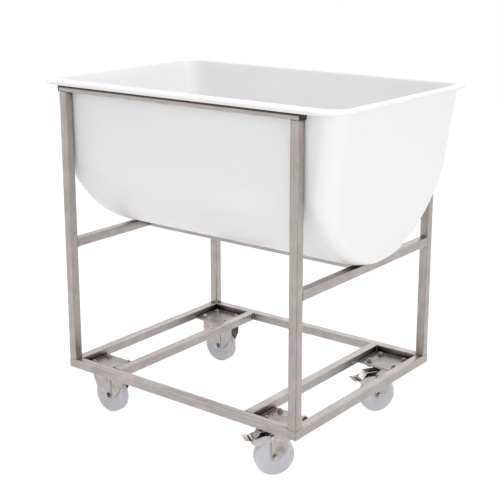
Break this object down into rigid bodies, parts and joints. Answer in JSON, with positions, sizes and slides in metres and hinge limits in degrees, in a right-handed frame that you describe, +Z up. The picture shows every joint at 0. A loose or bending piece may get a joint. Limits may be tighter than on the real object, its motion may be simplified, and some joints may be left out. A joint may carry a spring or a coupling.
{
  "type": "food tub trolley",
  "caption": "Lift-out white half-barrel food tub hung by its rolled rim on a square-tube steel trolley with fixed and braked swivel castors.",
  "frame": {"origin": "middle of the bounding box's underside, on the floor", "axes": "+X along the tub towards the swivel castors, +Y across the tub to the back, +Z up"},
  "size_m": [0.9982, 0.6934, 0.9694],
  "materials": {
    "frame_steel": "brushed stainless tube",
    "castor_steel": "pressed stainless sheet",
    "fixings": "turned stainless",
    "tub_plastic": "white polyethylene",
    "wheel_nylon": "off-white nylon",
    "end_plug": "black plastic"
  },
  "bodies": {
    "frame": {"base_rail_back": "frame_steel", "base_rail_front": "frame_steel", "base_rail_right": "frame_steel", "base_rail_left": "frame_steel", "cross_rail_right": "frame_steel", "cross_rail_left": "frame_steel", "post_front_left": "frame_steel", "post_front_right": "frame_steel", "post_back_left": "frame_steel", "post_back_right": "frame_steel", "mid_rail_right": "frame_steel", "mid_rail_left": "frame_steel", "cradle_rail": "frame_steel", "top_rail_front": "frame_steel", "top_rail_back": "frame_steel", "castor_sheet_front_left": "frame_steel", "castor_sheet_front_right": "frame_steel", "castor_sheet_back_left": "frame_steel", "castor_sheet_back_right": "frame_steel", "end_plug_front_left": "end_plug", "end_plug_front_right": "end_plug", "end_plug_back_left": "end_plug", "end_plug_back_right": "end_plug", "fixed_bracket_front": "castor_steel", "fixed_bracket_back": "castor_steel", "fixed_axle_front": "fixings", "fixed_axle_back": "fixings", "swivel_plate_front": "castor_steel", "swivel_plate_back": "castor_steel"},
    "tub_shell": {"tub": "tub_plastic"},
    "roller_front_left": {"wheel_front_left": "wheel_nylon", "bush_front_left": "fixings"},
    "roller_back_left": {"wheel_back_left": "wheel_nylon", "bush_back_left": "fixings"},
    "swivel_front": {"swivel_fork_front": "castor_steel", "swivel_axle_front": "fixings", "brake_pin_front": "fixings", "brake_leaf_front": "castor_steel"},
    "pedal_front": {"brake_pedal_front": "castor_steel"},
    "roller_front_right": {"wheel_front_right": "wheel_nylon", "bush_front_right": "fixings"},
    "swivel_back": {"swivel_fork_back": "castor_steel", "swivel_axle_back": "fixings", "brake_pin_back": "fixings", "brake_leaf_back": "castor_steel"},
    "pedal_back": {"brake_pedal_back": "castor_steel"},
    "roller_back_right": {"wheel_back_right": "wheel_nylon", "bush_back_right": "fixings"}
  },
  "joints": [
    {"name": "tub_lift", "type": "slide", "parent": "frame", "child": "tub_shell", "axis": [0, 0, 1], "range_m": [0, 0.46]},
    {"name": "roll_front_left", "type": "hinge", "parent": "frame", "child": "roller_front_left", "pos_m": [-0.323, -0.24426, 0.0525], "axis": [0, 1, 0], "continuous": true},
    {"name": "roll_back_left", "type": "hinge", "parent": "frame", "child": "roller_back_left", "pos_m": [-0.323, 0.25574, 0.0525], "axis": [0, 1, 0], "continuous": true},
    {"name": "swivel_turn_front", "type": "hinge", "parent": "frame", "child": "swivel_front", "pos_m": [0.301, -0.24426, 0.1315], "axis": [0, 0, 1], "continuous": true},
    {"name": "roll_front_right", "type": "hinge", "parent": "swivel_front", "child": "roller_front_right", "pos_m": [0.28174, -0.26982, 0.0525], "axis": [-0.7986, 0.6018, 0], "continuous": true},
    {"name": "brake_press_front", "type": "hinge", "parent": "swivel_front", "child": "pedal_front", "pos_m": [0.27572, -0.2778, 0.1085], "axis": [0.7986, -0.6018, 0], "range_deg": [0, 12]},
    {"name": "swivel_turn_back", "type": "hinge", "parent": "frame", "child": "swivel_back", "pos_m": [0.301, 0.25574, 0.1315], "axis": [0, 0, 1], "continuous": true},
    {"name": "roll_back_right", "type": "hinge", "parent": "swivel_back", "child": "roller_back_right", "pos_m": [0.285, 0.22803, 0.0525], "axis": [-0.866, 0.5, 0], "continuous": true},
    {"name": "brake_press_back", "type": "hinge", "parent": "swivel_back", "child": "pedal_back", "pos_m": [0.28, 0.21937, 0.1085], "axis": [0.866, -0.5, 0], "range_deg": [0, 12]}
  ]
}
